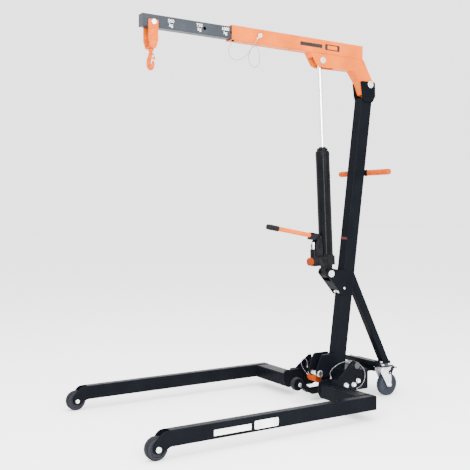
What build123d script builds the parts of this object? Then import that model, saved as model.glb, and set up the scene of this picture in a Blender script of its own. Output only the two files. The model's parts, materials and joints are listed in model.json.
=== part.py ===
from build123d import *
import math
import os

os.makedirs("parts", exist_ok=True)

# ---------------------------------------------------------------- driving dimensions (mm, degrees)
# Layout axes: X across the crane, -Y towards the hook, Z up. Y is zero at the rear of the legs'
# cross tubes while the parts are laid out, and every part is moved by ORIGIN_Y when it is written,
# so that the origin ends at the centre of the footprint on the floor.
LEG_X = 473.0
LEG_W = 50.0
LEG_H = 70.0
LEG_BOTTOM = 51.0
LEG_TOP = LEG_BOTTOM + LEG_H
LEG_END_Y = -1150.0
CROSS_DEPTH = 90.0
TUBE_R = 7.0
TUBE_WALL = 5.0
FRONT_WHEEL_Y = -1188.0
FRONT_WHEEL_R = 50.0
FRONT_WHEEL_W = 34.0
FRONT_AXLE_R = 6.0
FIT = 0.1

HINGE_Y = 158.0
HINGE_Z = 197.0
BRACKET_IN = 152.0
BRACKET_OUT = 190.0
PLATE = 8.0
SIDE_X = 138.0
BOX_FRONT = 108.0
BOX_REAR = 258.0
BOX_BOTTOM = 57.0
BOX_TOP = 165.0
LOCK_Y = 60.0
LOCK_Z = 100.0
LOCK_R = 8.0

MAST_W = 60.0
MAST_D = 80.0
MAST_LEAN = 7.2
MAST_FOOT_Y = 127.0
MAST_TOP_Z = 1650.0
HEAD_T = 8.0
FLANGE_Y = MAST_D / 2 + 7
PIVOT_Y = 350.0
PIVOT_Z = 1731.0
PIVOT_R = 12.5

BOOM_W = 60.0
BOOM_H = 76.0
BOOM_WALL = 5.0
BOOM_TILT = 0.81
BOOM_FRONT_Y = -547.0
BOOM_FRONT_TOP = 1954.0
BOOM_LENGTH = 850.0
GUSSET_T = 6.0
GUSSET_X = 29.0
EXT_W = 48.0
EXT_H = 60.0
EXT_TILT = 0.61
EXT_TIP_Y = -1030.0
EXT_TIP_TOP = 1950.0
EXT_LENGTH = 780.0
LOCK_STEP = 155.0
BOOM_LOCK_Y = -390.0

RAM_TOP_Y = 21.0
RAM_TOP_Z = 1834.0
RAM_FOOT_Y = 79.0
RAM_FOOT_Z = 686.0
RAM_PIN_R = 10.0
CYL_R = 38.0
CYL_BOTTOM = 96.0
CYL_TOP = 682.0
ROD_R = 12.0
PISTON_Z = 440.0
EYE_R = 17.0
PUMP_Y = -82.0
PUMP_R = 21.0
KNOB_Y = -98.0
KNOB_Z = 72.0
KNOB_R = 23.0
KNOB_T = 22.0
SOCKET_Y = -52.0
SOCKET_Z = 200.0
SOCKET_X = 16.0
HANDLE_R = 12.5
HANDLE_TILT = 13.1
HANDLE_LENGTH = 335.0
GRIP_LENGTH = 78.0

CASTOR_X = 130.0
CASTOR_Y = 368.0
CASTOR_TRAIL = 34.0
CASTOR_BOLTS = tuple((dx, dy) for dx in (-33, 33) for dy in (-24, 24))
CASTOR_R = 62.5
CASTOR_W = 37.0
CASTOR_TOP = 165.0
CASTOR_PLATE_T = 4.0
PEDAL_X = 24.4
TAIL_Z = 140.0
TAIL_REAR = 530.0
CROSS_BEAM_Z = 158.0
CROSS_BEAM_H = 55.0
BRACE_W = 44.0
BRACE_LEAN = 26.9
BRACE_FOOT_Y = 498.0
PEDAL_DY = 3.0
PEDAL_Z = 130.0

BASE_PIN_Y = 3.0
BASE_PIN_Z = 147.0
TRANSPORT_Y = -120.0
TRANSPORT_Z = 98.0
TRANSPORT_R = 35.0
WHEEL_ARM_X = 24.0

BAR_Y = 342.0
BAR_Z = 1240.0
BAR_HALF = 207.0
GRIP_IN = 43.0

HOOK_Y = -979.0
HOOK_PIN_Z = 1912.0
STRAP_BOTTOM = 1792.0
HOOK_LOW = 1692.0
WIRE_R = 1.5

ORIGIN_Y = -(FRONT_WHEEL_Y - FRONT_WHEEL_R + TAIL_REAR) / 2
SIDES = (("near", 1), ("far", -1))


# ---------------------------------------------------------------- helpers
def save(shape, name):
    export_step(Pos(0, ORIGIN_Y, 0) * shape, "parts/" + name + ".step")


def box(x0, x1, y0, y1, z0, z1):
    """A block between two corners."""
    centre = Pos((x0 + x1) / 2, (y0 + y1) / 2, (z0 + z1) / 2)
    return centre * Box(abs(x1 - x0), abs(y1 - y0), abs(z1 - z0))


def rod_x(r, x0, x1, y, z):
    """A round bar along X."""
    return Pos((x0 + x1) / 2, y, z) * Rot(0, 90, 0) * Cylinder(r, abs(x1 - x0))


def rod_y(r, y0, y1, x, z):
    """A round bar along Y."""
    return Pos(x, (y0 + y1) / 2, z) * Rot(90, 0, 0) * Cylinder(r, abs(y1 - y0))


def rod_z(r, z0, z1, x, y):
    """A round bar along Z."""
    return Pos(x, y, (z0 + z1) / 2) * Cylinder(r, abs(z1 - z0))


def plate_x(points, x0, x1):
    """A plate across X, cut to an outline of (y, z, corner radius)."""
    face = Polygon(*[(y, z) for y, z, r in points], align=None)
    for y, z, r in points:
        if r > 0:
            corner = face.vertices().sort_by_distance((y, z, 0))[0]
            face = fillet(corner, r)
    solid = extrude(Plane.YZ * face, abs(x1 - x0), dir=(1, 0, 0))
    return Pos(min(x0, x1), 0, 0) * solid


def square_tube(w, d, length, wall, r):
    """A hollow box section that stands on the XY plane."""
    outer = RectangleRounded(w, d, r)
    inner = RectangleRounded(w - 2 * wall, d - 2 * wall, r - wall)
    return extrude(outer - inner, length)


def swap(shape, side):
    """The same shape on the near side, or its mirror image on the far side."""
    return shape if side > 0 else mirror(shape, Plane.YZ)


def ram_frame(shape):
    """Moves a shape drawn about the ram's foot pin, with the ram upright, to its place."""
    lean = math.degrees(math.atan2(RAM_FOOT_Y - RAM_TOP_Y, RAM_TOP_Z - RAM_FOOT_Z))
    return Pos(0, RAM_FOOT_Y, RAM_FOOT_Z) * Rot(lean, 0, 0) * shape


def lanyard(points, name):
    """A wire rope of straight runs joined by arcs as large as the runs allow."""
    vectors = [Vector(*p) for p in points]
    radii = []
    for a, b, c in zip(vectors, vectors[1:], vectors[2:]):
        shorter = min((b - a).length, (c - b).length)
        turn = (b - a).get_angle(c - b)
        radii.append(0.45 * shorter / math.tan(math.radians(turn / 2)))
    path = FilletPolyline(*points, radius=radii)
    start = Plane(origin=path @ 0, z_dir=path % 0)
    wire = sweep(start * Circle(WIRE_R), path=path)
    print(name, "radii", [round(r) for r in radii], "length", round(path.length),
          "volume ratio", round(wire.volume / (path.length * math.pi * WIRE_R ** 2), 3))
    return wire


# ---------------------------------------------------------------- legs and front wheels
def leg(side):
    """An L-shaped leg: side tube with wheel cheeks, cross tube and hinge bracket plates."""
    x0 = LEG_X - LEG_W / 2
    x1 = LEG_X + LEG_W / 2
    outline = [(0, LEG_BOTTOM, 3), (0, LEG_TOP, 3), (LEG_END_Y - 18, LEG_TOP, 42),
               (FRONT_WHEEL_Y - 20, 66, 12), (FRONT_WHEEL_Y - 22, 34, 16),
               (FRONT_WHEEL_Y + 14, 27, 14), (LEG_END_Y + 20, LEG_BOTTOM, 20)]
    arm = plate_x(outline, x0, x1)
    long_edges = arm.edges().filter_by(Axis.Y).filter_by(lambda e: e.length > 500)
    arm = fillet(long_edges, TUBE_R)
    hollow_end = LEG_END_Y + 40
    arm -= box(x0 + TUBE_WALL, x1 - TUBE_WALL, hollow_end, -TUBE_WALL, LEG_BOTTOM + TUBE_WALL,
               LEG_TOP - TUBE_WALL)
    slot = FRONT_WHEEL_W / 2 + 2
    arm -= box(LEG_X - slot, LEG_X + slot, FRONT_WHEEL_Y - 60, FRONT_WHEEL_Y + FRONT_WHEEL_R + 7, 0,
               LEG_TOP + 5)
    arm -= rod_x(FRONT_AXLE_R, x0 - 5, x1 + 5, FRONT_WHEEL_Y, FRONT_WHEEL_R)
    cross = Pos(BRACKET_IN + PLATE, -CROSS_DEPTH / 2, (LEG_BOTTOM + LEG_TOP) / 2) * Rot(0, 90, 0) * (
        square_tube(LEG_H, CROSS_DEPTH, x0 - BRACKET_IN - PLATE, TUBE_WALL, TUBE_R))
    inner = [(-97, 76, 30), (-97, 142, 26), (44, 142, 12), (112, 206, 20), (150, 219, 14),
             (180, 212, 16), (180, 180, 16), (106, 44, 20), (-80, 44, 28)]
    outer = [(-36, LEG_TOP - 1, 0), (-30, 142, 6), (10, 142, 6), (22, 153, 4), (100, 208, 8),
             (117, 208, 8), (118, 134, 3), (154, 134, 8), (154, 96, 14), (106, 60, 20), (-1, 60, 0),
             (-1, LEG_TOP - 1, 0)]
    body = arm + cross + plate_x(inner, BRACKET_IN, BRACKET_IN + PLATE)
    body += plate_x(outer, BRACKET_OUT - PLATE, BRACKET_OUT)
    body += box(BRACKET_IN + 2, BRACKET_OUT - 2, 70, 78, 70, 142)
    body -= rod_x(12 + FIT, BRACKET_IN - 5, BRACKET_IN + PLATE + 5, HINGE_Y, HINGE_Z)
    body -= rod_x(LOCK_R + FIT, BRACKET_IN - 5, BRACKET_OUT + 5, LOCK_Y, LOCK_Z)
    return swap(body, side)


def front_wheel(side):
    half = FRONT_WHEEL_W / 2
    wheel = rod_x(FRONT_WHEEL_R, LEG_X - half, LEG_X + half, FRONT_WHEEL_Y, FRONT_WHEEL_R)
    wheel = fillet(wheel.edges().filter_by(GeomType.CIRCLE), 8)
    for x in (LEG_X - half, LEG_X + half):
        wheel -= rod_x(30, x - 3, x + 3, FRONT_WHEEL_Y, FRONT_WHEEL_R)
        wheel += rod_x(14, x - 3, x + 3, FRONT_WHEEL_Y, FRONT_WHEEL_R) & rod_x(
            14, LEG_X - half - 1, LEG_X + half + 1, FRONT_WHEEL_Y, FRONT_WHEEL_R)
    wheel -= rod_x(FRONT_AXLE_R + FIT, LEG_X - 40, LEG_X + 40, FRONT_WHEEL_Y, FRONT_WHEEL_R)
    return swap(wheel, side)


def front_axle(side):
    x0 = LEG_X - LEG_W / 2
    x1 = LEG_X + LEG_W / 2
    bolt = rod_x(FRONT_AXLE_R, x0, x1, FRONT_WHEEL_Y, FRONT_WHEEL_R)
    head = rod_x(13, x1, x1 + 7, FRONT_WHEEL_Y, FRONT_WHEEL_R)
    head = fillet(head.faces().sort_by(Axis.X)[-1].edges(), 4)
    nut = Pos(x0 - 4, FRONT_WHEEL_Y, FRONT_WHEEL_R) * Rot(0, 90, 0) * (
        extrude(RegularPolygon(11, 6), 4, both=True))
    return swap(bolt + head + nut, side)


# ---------------------------------------------------------------- base
def base_frame():
    """The chassis under the mast: cross box, hinge side plates, nose plates and rear beams."""
    inner_x = SIDE_X - PLATE
    frame = box(-inner_x, inner_x, BOX_FRONT, BOX_REAR, BOX_BOTTOM, BOX_TOP)
    frame -= box(-inner_x + 1, inner_x - 1, BOX_FRONT + 6, BOX_REAR - 6, BOX_BOTTOM - 1, BOX_TOP - 6)
    side = [(30, 70, 12), (30, 138, 18), (112, 150, 20), (134, 206, 14), (158, 221, 14),
            (184, 212, 14), (196, 166, 14), (BOX_REAR, BOX_TOP, 8), (BOX_REAR, BOX_BOTTOM, 8),
            (60, BOX_BOTTOM, 12)]
    plate = plate_x(side, inner_x, SIDE_X)
    plate -= rod_x(12, inner_x - 5, SIDE_X + 5, HINGE_Y, HINGE_Z)
    plate -= rod_x(LOCK_R + FIT, inner_x - 5, SIDE_X + 5, LOCK_Y, LOCK_Z)
    nose = [(BOX_FRONT, 126, 0), (1, 126, 14), (-23, 150, 20), (17, 247, 18), (112, 247, 6),
            (150, 200, 8), (165, BOX_TOP - 8, 0), (BOX_FRONT, BOX_TOP - 8, 0)]
    cheek = plate_x(nose, MAST_W / 2, MAST_W / 2 + PLATE)
    cheek -= rod_x(12, 20, 45, BASE_PIN_Y, BASE_PIN_Z)
    arm = [(-138, 112, 12), (-138, 80, 14), (-104, 78, 16), (-40, 38, 30), (30, 38, 10),
           (BOX_FRONT + 4, BOX_BOTTOM, 0), (BOX_FRONT + 4, 64, 0), (-40, 64, 20), (-100, 114, 16)]
    bracket = plate_x(arm, WHEEL_ARM_X - 6, WHEEL_ARM_X)
    bracket -= rod_x(6, 10, 30, TRANSPORT_Y, TRANSPORT_Z)
    for sign in (1, -1):
        frame += swap(plate, sign)
        frame += swap(cheek, sign)
        frame += swap(bracket, sign)
    frame += box(-MAST_W / 2, MAST_W / 2, 30, BOX_FRONT + 1, 126, 134)
    frame += box(-WHEEL_ARM_X + 5, WHEEL_ARM_X - 5, -30, 20, 44, 50)
    beam = Pos(0, BOX_REAR - 1, TAIL_Z) * Rot(-90, 0, 0) * (
        square_tube(50, 45, TAIL_REAR - BOX_REAR + 1, 4, 6))
    frame += beam
    frame += box(-25, 25, TAIL_REAR - 5, TAIL_REAR, TAIL_Z - 22, TAIL_Z + 22)
    cross = Pos(-88, CASTOR_Y, CROSS_BEAM_Z) * Rot(0, 90, 0) * square_tube(CROSS_BEAM_H, 50, 176, 4, 6)
    frame += cross - box(-24, 24, CASTOR_Y - 22, CASTOR_Y + 22, TAIL_Z - 20, TAIL_Z + 20)
    for sign in (1, -1):
        mount_plate = box(80, 182, CASTOR_Y - 42, CASTOR_Y + 42, CASTOR_TOP + 4, CASTOR_TOP + 10)
        mount_plate = fillet(mount_plate.edges().filter_by(Axis.Z), 8)
        end_plate = box(84, 88, CASTOR_Y - 24, CASTOR_Y + 24, CROSS_BEAM_Z - 24, CROSS_BEAM_Z + 24)
        mount_plate += end_plate
        for dx, dy in CASTOR_BOLTS:
            mount_plate -= rod_z(4.2, CASTOR_TOP, 190, CASTOR_X + dx, CASTOR_Y + dy)
        frame += swap(mount_plate, sign)
    return frame


def base_pin():
    """The large headed pin through the two nose plates ahead of the mast."""
    return headed_pin(12, MAST_W / 2 + PLATE, 18, 8, BASE_PIN_Y, BASE_PIN_Z)


def hinge_bolts():
    """The two bolts on which the legs fold, one each side."""
    bolts = []
    for name, sign in SIDES:
        end_x = BRACKET_IN + PLATE
        bolt = rod_x(12, SIDE_X - 14, end_x + 6, HINGE_Y, HINGE_Z)
        bolt += rod_x(18, end_x + 1, end_x + 6, HINGE_Y, HINGE_Z)
        bolt += rod_x(15, SIDE_X - 14, SIDE_X - PLATE, HINGE_Y, HINGE_Z)
        bolts.append(swap(bolt, sign))
    return Compound(children=bolts)


def leg_bolts(side):
    """The three bolt heads on a leg's outer bracket plate."""
    heads = []
    for y, z in ((58, 106), (111, 105), (141, 122)):
        heads.append(swap(rod_x(11, BRACKET_OUT, BRACKET_OUT + 8, y, z), side))
    return Compound(children=heads)


def transport_wheel():
    wheel = rod_x(TRANSPORT_R, -14, 14, TRANSPORT_Y, TRANSPORT_Z)
    wheel = fillet(wheel.edges().filter_by(GeomType.CIRCLE), 4)
    wheel -= rod_x(20, 11, 20, TRANSPORT_Y, TRANSPORT_Z) + rod_x(20, -20, -11, TRANSPORT_Y, TRANSPORT_Z)
    return wheel - rod_x(6 + FIT, -30, 30, TRANSPORT_Y, TRANSPORT_Z)


def transport_axle():
    return headed_pin(6, WHEEL_ARM_X, 10, 6, TRANSPORT_Y, TRANSPORT_Z)


# ---------------------------------------------------------------- mast
def mast_frame(shape):
    """Moves a shape drawn about the foot of an upright mast to its place on the leaning one."""
    return Pos(0, MAST_FOOT_Y, 0) * Rot(-MAST_LEAN, 0, 0) * shape


def mast():
    """The leaning mast tube with its cap and the two head plates for the boom's pivot."""
    length = MAST_TOP_Z / math.cos(math.radians(MAST_LEAN))
    tube = square_tube(MAST_W, MAST_D, length, TUBE_WALL, TUBE_R)
    cap = Pos(0, 0, length - 2.5) * Box(MAST_W - 2, MAST_D - 2, 5)
    post = mast_frame(tube + cap)
    post -= box(-60, 60, 0, 300, -20, BOX_TOP)
    head = [(286, 1747, 8), (388, 1747, 8), (391, 1668, 6), (370, 1634, 6), (308, 1636, 6),
            (297, 1668, 6)]
    for sign in (1, -1):
        ear = plate_x(head, MAST_W / 2, MAST_W / 2 + HEAD_T)
        ear -= rod_x(PIVOT_R, 20, 50, PIVOT_Y, PIVOT_Z)
        post += swap(ear, sign)
    return post


def ram_bracket():
    """Two plates that carry the ram's foot pin on the mast, joined by a sloping web."""
    outline = [(46, 690, 10), (58, 713, 10), (92, 713, 8), (192, 697, 4), (186, 604, 16),
               (176, 566, 8), (155, 566, 6)]
    cheek = plate_x(outline, MAST_W / 2, MAST_W / 2 + PLATE)
    cheek -= rod_x(RAM_PIN_R, 20, 50, RAM_FOOT_Y, RAM_FOOT_Z)
    web = plate_x([(88, 643, 0), (94, 648, 0), (136, 600, 0), (130, 595, 0)], -MAST_W / 2, MAST_W / 2)
    flange = mast_frame(box(-MAST_W / 2, MAST_W / 2, -FLANGE_Y, -MAST_D / 2, 566, 597))
    return swap(cheek, 1) + swap(cheek, -1) + web + flange


def bracket_bolts():
    """Two bolts through the bracket's front flange and one on each cheek."""
    heads = []
    for x in (-14, 14):
        heads.append(mast_frame(rod_y(8, -FLANGE_Y - 7, -FLANGE_Y, x, 581)))
    for name, sign in SIDES:
        heads.append(swap(rod_x(6, MAST_W / 2 + PLATE, MAST_W / 2 + PLATE + 3, 172, 602), sign))
    return Compound(children=heads)


def headed_pin(r, half, head_r, head_t, y, z):
    """A pin across the crane with a round head at each end."""
    pin = rod_x(r, -half, half, y, z)
    for sign in (1, -1):
        head = rod_x(head_r, half, half + head_t, y, z)
        head = fillet(head.faces().sort_by(Axis.X)[-1].edges(), 2)
        pin += swap(head, sign)
    return pin


def rear_brace():
    """The diagonal stay from the tail of the base up to the back of the mast."""
    top = TAIL_Z + 22.5
    tube = square_tube(BRACE_W, BRACE_W, 620, 4, 5)
    foot_y = BRACE_FOOT_Y + 20 * math.tan(math.radians(BRACE_LEAN))
    stay = Pos(0, foot_y, top - 20) * Rot(BRACE_LEAN, 0, 0) * tube
    stay -= box(-40, 40, 300, 620, 50, top)
    return stay - mast_frame(Pos(0, MAST_D / 2 - 200, 500) * Box(100, 400, 1400))


def push_handle():
    """The cross bar behind the mast, held by two lugs."""
    bar = rod_x(12.5, -BAR_HALF + 4, BAR_HALF - 4, BAR_Y, BAR_Z)
    for x in (-18, 18):
        lug = box(x - 4, x + 4, BAR_Y - 28, BAR_Y, BAR_Z - 14, BAR_Z + 14)
        bar += lug + rod_x(18, x - 4, x + 4, BAR_Y, BAR_Z)
    return bar - mast_frame(Pos(0, MAST_D / 2 - 100, 1240) * Box(100, 200, 200))


def push_handle_grips():
    grips = []
    for name, sign in SIDES:
        grip = rod_x(16.5, GRIP_IN, BAR_HALF, BAR_Y, BAR_Z)
        grip = fillet(grip.edges().filter_by(GeomType.CIRCLE), 4)
        grip -= rod_x(12.5, GRIP_IN - 5, BAR_HALF - 4, BAR_Y, BAR_Z)
        grips.append(swap(grip, sign))
    return Compound(children=grips)


# ---------------------------------------------------------------- boom
def boom_place(shape):
    """Moves a tube drawn from the XY plane up to lie along the boom, front end first."""
    centre_z = BOOM_FRONT_TOP - BOOM_H / 2
    return Pos(0, BOOM_FRONT_Y, centre_z) * Rot(-90 - BOOM_TILT, 0, 0) * shape


def boom():
    """The outer boom tube with its folded gusset, drop arm and pivot boss."""
    tube = boom_place(square_tube(BOOM_W, BOOM_H, BOOM_LENGTH, BOOM_WALL, TUBE_R))
    rear = boom_place(Pos(0, 0, BOOM_LENGTH - 2.5) * Box(BOOM_W - 2, BOOM_H - 2, 5))
    side = [(-62, 1880, 0), (-16, 1809, 16), (10, 1799, 14), (238, 1799, 18), (292, 1731, 0),
            (316, 1676, 12), (352, 1664, 18), (384, 1698, 20), (386, 1738, 16), (372, 1760, 0),
            (302, 1880, 0)]
    body = tube + rear
    for sign in (1, -1):
        cheek = plate_x(side, GUSSET_X - GUSSET_T, GUSSET_X)
        cheek -= boom_place(Pos(0, 0, BOOM_LENGTH / 2) * Box(80, BOOM_H - 1, BOOM_LENGTH + 20))
        cheek -= rod_x(RAM_PIN_R, 20, 40, RAM_TOP_Y, RAM_TOP_Z)
        body += swap(cheek, sign)
    inside = GUSSET_X - 1
    front_web = plate_x([(-61, 1879, 0), (-54, 1879, 0), (-34, 1848, 0), (-41, 1848, 0)], -inside,
                        inside)
    low_web = plate_x([(114, 1799, 0), (114, 1805, 0), (241, 1805, 0), (298, 1733, 0), (322, 1680, 0),
                       (316, 1676, 0), (292, 1731, 0), (236, 1799, 0)], -inside, inside)
    back_web = plate_x([(302, 1872, 0), (296, 1872, 0), (366, 1760, 0), (372, 1760, 0)], -inside,
                       inside)
    webs = front_web + back_web
    webs -= boom_place(Pos(0, 0, BOOM_LENGTH / 2) * Box(80, BOOM_H - 1, BOOM_LENGTH + 20))
    body += webs + low_web
    body += rod_x(24, -inside, inside, PIVOT_Y, PIVOT_Z)
    body -= rod_x(PIVOT_R + FIT, -50, 50, PIVOT_Y, PIVOT_Z)
    body -= rod_x(9, 15, 50, BOOM_LOCK_Y, lock_z(BOOM_LOCK_Y))
    return body


def ram_head_pins():
    """The ram's upper pin, drawn as a headed stub through each gusset plate."""
    stubs = []
    for name, sign in SIDES:
        stub = rod_x(RAM_PIN_R, 14, GUSSET_X, RAM_TOP_Y, RAM_TOP_Z)
        head = rod_x(17, GUSSET_X, GUSSET_X + 9, RAM_TOP_Y, RAM_TOP_Z)
        head = fillet(head.faces().sort_by(Axis.X)[-1].edges(), 2)
        stubs.append(swap(stub + head, sign))
    return Compound(children=stubs)


def ext_place(shape):
    """Moves a tube drawn from the XY plane up to lie along the extension, tip first."""
    centre_z = EXT_TIP_TOP - EXT_H / 2
    return Pos(0, EXT_TIP_Y, centre_z) * Rot(-90 - EXT_TILT, 0, 0) * shape


def lock_z(y):
    """The height of the extension's centre line."""
    return EXT_TIP_TOP - EXT_H / 2 - (y - EXT_TIP_Y) * math.tan(math.radians(EXT_TILT))


def boom_extension():
    """The inner boom with its end cap, lock holes and hook pin hole."""
    tube = square_tube(EXT_W, EXT_H, EXT_LENGTH, 4, 5)
    tube += Pos(0, 0, 2) * Box(EXT_W - 2, EXT_H - 2, 4)
    body = ext_place(tube)
    for step in range(3):
        y = BOOM_LOCK_Y - step * LOCK_STEP
        body -= rod_x(8.5, -40, 40, y, lock_z(y))
    return body - rod_x(8, -40, 40, HOOK_Y, HOOK_PIN_Z)


def hook_pin():
    pin = rod_x(8, -34, 34, HOOK_Y, HOOK_PIN_Z)
    head = extrude(Plane.YZ * RegularPolygon(13, 6), 7, dir=(1, 0, 0))
    for x in (31, -38):
        pin += Pos(x, HOOK_Y, HOOK_PIN_Z) * head
    return pin


def hook_strap():
    """The U-shaped strap that hangs from the extension's pin."""
    side = [(-25, 11, 5), (25, 11, 5), (25, -84, 14), (14, -120, 4), (-14, -120, 4), (-25, -84, 14)]
    outline = [(HOOK_Y + y, HOOK_PIN_Z + z, r) for y, z, r in side]
    strap = box(-31, 31, HOOK_Y - 14, HOOK_Y + 14, STRAP_BOTTOM, STRAP_BOTTOM + 8)
    for sign in (1, -1):
        strap += swap(plate_x(outline, 25, 31), sign)
    strap -= rod_x(8 + FIT, -40, 40, HOOK_Y, HOOK_PIN_Z)
    return strap - rod_z(9 + FIT, STRAP_BOTTOM - 5, STRAP_BOTTOM + 20, 0, HOOK_Y)


def load_hook():
    """The forged hook with its swivel shank and nut."""
    bowl_z = HOOK_LOW + 32
    ring = Circle(32) - Circle(16)
    ring -= Polygon((4, 0), (4, 46), (46, 46), (46, 8), align=None)
    ring += Polygon((-30, 4), (-14, 4), (0, 34), (10, 52), (10, 66), (-10, 66), (-12, 48),
                    align=None)
    hook = Pos(0, HOOK_Y + 8, bowl_z) * extrude(Plane.XZ * ring, 16, dir=(0, -1, 0))
    hook += rod_z(14, STRAP_BOTTOM - 12, STRAP_BOTTOM - 1, 0, HOOK_Y)
    hook += rod_z(9, STRAP_BOTTOM - 2, STRAP_BOTTOM + 22, 0, HOOK_Y)
    nut = Pos(0, HOOK_Y, STRAP_BOTTOM + 9) * extrude(RegularPolygon(15, 6), 12)
    return hook + nut


def hook_latch():
    """The sprung latch that closes the hook's mouth."""
    z = HOOK_LOW + 32
    x0, z0, x1, z1 = 3, z + 44, 24, z + 18
    lean = math.degrees(math.atan2(x1 - x0, z0 - z1))
    length = math.hypot(x1 - x0, z0 - z1)
    tongue = Pos(x0, HOOK_Y, z0) * Rot(0, -lean, 0) * box(-1.5, 1.5, -12, 12, -length, 0)
    slot = box(-60, 60, HOOK_Y - 8.3, HOOK_Y + 8.3, z - 60, z + 80)
    ears = tongue - slot
    strip = Pos(x0, HOOK_Y, z0) * Rot(0, -lean, 0) * box(-1.5, 1.5, -12, 12, -length - 3, -length + 7)
    ear_pin = rod_y(3, HOOK_Y + 8.3, HOOK_Y + 12, x0, z0) + rod_y(3, HOOK_Y - 12, HOOK_Y - 8.3, x0, z0)
    return ears + strip + ear_pin


def boom_lock_pin():
    z = lock_z(BOOM_LOCK_Y)
    pin = rod_x(8, EXT_W / 2 + 0.4, 44, BOOM_LOCK_Y, z)
    pin += rod_x(11, 36, 44, BOOM_LOCK_Y, z)
    ring = Pos(50, BOOM_LOCK_Y, z) * Rot(90, 0, 0) * Torus(9, 2.5)
    return pin + ring


# ---------------------------------------------------------------- ram and pump
def ram_cylinder():
    body = rod_z(CYL_R, CYL_BOTTOM, CYL_TOP - 14, 0, 0)
    gland = rod_z(30, CYL_TOP - 15, CYL_TOP, 0, 0)
    gland = fillet(gland.faces().sort_by(Axis.Z)[-1].edges(), 5)
    body = fillet(body.faces().sort_by(Axis.Z)[-1].edges(), 9) + gland
    body -= rod_z(30, CYL_BOTTOM + 12, CYL_TOP - 30, 0, 0)
    return ram_frame(body - rod_z(ROD_R + 0.3, CYL_TOP - 40, CYL_TOP + 5, 0, 0))


def ram_base():
    """The cast foot block of the ram, with its eye, valve boss and pump seat."""
    block = box(-36, 36, -74, 40, 47, CYL_BOTTOM)
    block = fillet(block.edges().filter_by(Axis.Z), 16)
    seat = box(-24, 24, KNOB_Y + 1, -60, 47, CYL_BOTTOM)
    seat = fillet(seat.edges().filter_by(Axis.Z), 10)
    eye = rod_x(24, -22, 22, 0, 0) + box(-22, 22, -24, 24, 0, 50)
    boss = rod_y(15, KNOB_Y, KNOB_Y + 20, 0, KNOB_Z)
    foot = block + seat + eye + boss
    for x in (-SOCKET_X - 7, SOCKET_X + 1):
        foot += box(x, x + 6, SOCKET_Y - 11, SOCKET_Y + 11, CYL_BOTTOM - 4, SOCKET_Z)
        foot += rod_x(11, x, x + 6, SOCKET_Y, SOCKET_Z)
        foot -= rod_x(6, x - 2, x + 8, SOCKET_Y, SOCKET_Z)
    foot -= rod_x(RAM_PIN_R + FIT, -40, 40, 0, 0)
    return ram_frame(foot)


def ram_rod():
    """The chromed rod with its eye."""
    top = math.hypot(RAM_TOP_Z - RAM_FOOT_Z, RAM_FOOT_Y - RAM_TOP_Y)
    rod = rod_z(ROD_R, PISTON_Z, top - 8, 0, 0)
    rod += rod_z(29.8, PISTON_Z, PISTON_Z + 25, 0, 0)
    rod += rod_x(EYE_R, -12, 12, 0, top)
    return ram_frame(rod - rod_x(RAM_PIN_R, -20, 20, 0, top))


def pump_cylinder():
    body = rod_z(PUMP_R, CYL_BOTTOM, 138, 0, PUMP_Y)
    body = fillet(body.faces().sort_by(Axis.Z)[-1].edges(), 4)
    body -= rod_z(7.2, CYL_BOTTOM + 6, 150, 0, PUMP_Y)
    return ram_frame(body)


def pump_plunger():
    plunger = rod_z(7, CYL_BOTTOM + 28, 176, 0, PUMP_Y) + rod_z(10, 163, 176, 0, PUMP_Y)
    return ram_frame(plunger)


def handle_frame(shape):
    """Moves a shape drawn along -Y from the handle pivot to its place on the ram."""
    return ram_frame(Pos(0, SOCKET_Y, SOCKET_Z) * Rot(-HANDLE_TILT, 0, 0) * shape)


def handle_socket():
    outline = [(0, -13, 6), (-20, -13, 0), (-34, -20, 6), (-58, -20, 6), (-58, 19, 6), (0, 19, 6)]
    block = plate_x(outline, -SOCKET_X, SOCKET_X)
    block += rod_x(12.5, -SOCKET_X, SOCKET_X, 0, 0)
    block -= rod_y(HANDLE_R, -62, -10, 0, 3)
    block -= rod_x(6 + FIT, -20, 20, 0, 0)
    lug = box(-6, 6, -40, -20, -19, -12)
    return handle_frame(block + lug)


def socket_pin():
    return ram_frame(headed_pin(6, SOCKET_X + 7, 9, 5, SOCKET_Y, SOCKET_Z))


def pump_handle():
    tube = rod_y(HANDLE_R, -HANDLE_LENGTH, -10, 0, 3) - rod_y(HANDLE_R - 3, -HANDLE_LENGTH - 5, -20, 0, 3)
    return handle_frame(tube)


def handle_grip():
    tip = HANDLE_LENGTH + 6
    grip = rod_y(15, -tip, GRIP_LENGTH - tip, 0, 3)
    grip = fillet(grip.edges().filter_by(GeomType.CIRCLE), 4)
    return handle_frame(grip - rod_y(HANDLE_R, -HANDLE_LENGTH, 0, 0, 3))


def release_knob():
    outline = RegularPolygon(KNOB_R, 8, rotation=22.5)
    knob = Pos(0, KNOB_Y - 0.3, KNOB_Z) * Rot(90, 0, 0) * extrude(outline, KNOB_T)
    knob = fillet(knob.edges(), 3)
    return ram_frame(knob)


# ---------------------------------------------------------------- castors
def castor_top_plates():
    plates = []
    for name, sign in SIDES:
        plate = box(CASTOR_X - 41, CASTOR_X + 44, CASTOR_Y - 40, CASTOR_Y + 40, CASTOR_TOP,
                    CASTOR_TOP + CASTOR_PLATE_T)
        plate = fillet(plate.edges().filter_by(Axis.Z), 8)
        plate += rod_z(30, CASTOR_TOP - 8, CASTOR_TOP + 1, CASTOR_X, CASTOR_Y)
        plate += rod_z(7, CASTOR_TOP - 24, CASTOR_TOP, CASTOR_X, CASTOR_Y)
        for dx, dy in CASTOR_BOLTS:
            plate -= rod_z(4.2, CASTOR_TOP - 5, 190, CASTOR_X + dx, CASTOR_Y + dy)
        plates.append(swap(plate, sign))
    return Compound(children=plates)


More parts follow.
